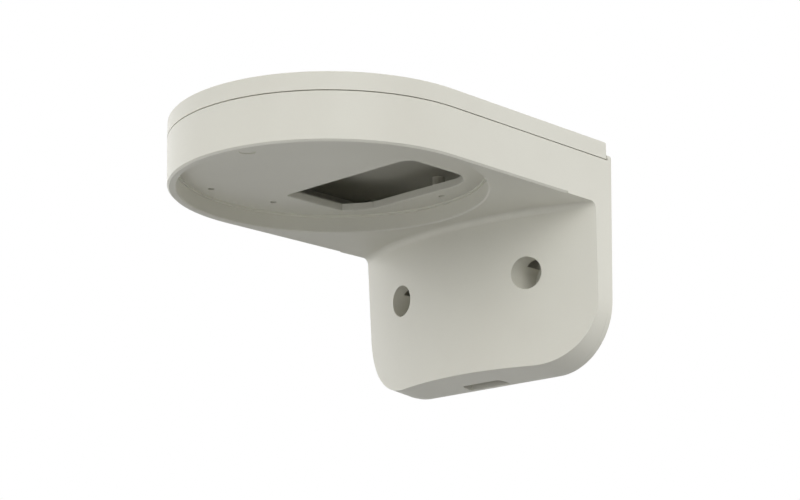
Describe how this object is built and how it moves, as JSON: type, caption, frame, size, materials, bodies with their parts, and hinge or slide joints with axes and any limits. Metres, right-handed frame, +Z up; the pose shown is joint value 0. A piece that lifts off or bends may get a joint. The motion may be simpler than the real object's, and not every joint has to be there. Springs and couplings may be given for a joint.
{
  "type": "dome camera wall mount",
  "caption": "L-shaped wall bracket that holds a small dome camera under its round pan, with a closed cable space, a cover on top and a plate at the wall.",
  "frame": {"origin": "on the wall face, half way between the axes of the two wall screws", "axes": "+Z up, +Y into the wall, so the mount reaches out towards -Y; +X across"},
  "size_m": [0.124, 0.1515, 0.0877],
  "materials": {
    "coated_casting": "fine matt powder coat, warm light grey",
    "screw_steel": "plain stainless steel"
  },
  "bodies": {
    "root": {"bracket_body": "coated_casting", "top_cover": "coated_casting", "wall_plate": "coated_casting", "cover_screws": "screw_steel", "plate_screws": "screw_steel"}
  },
  "joints": []
}
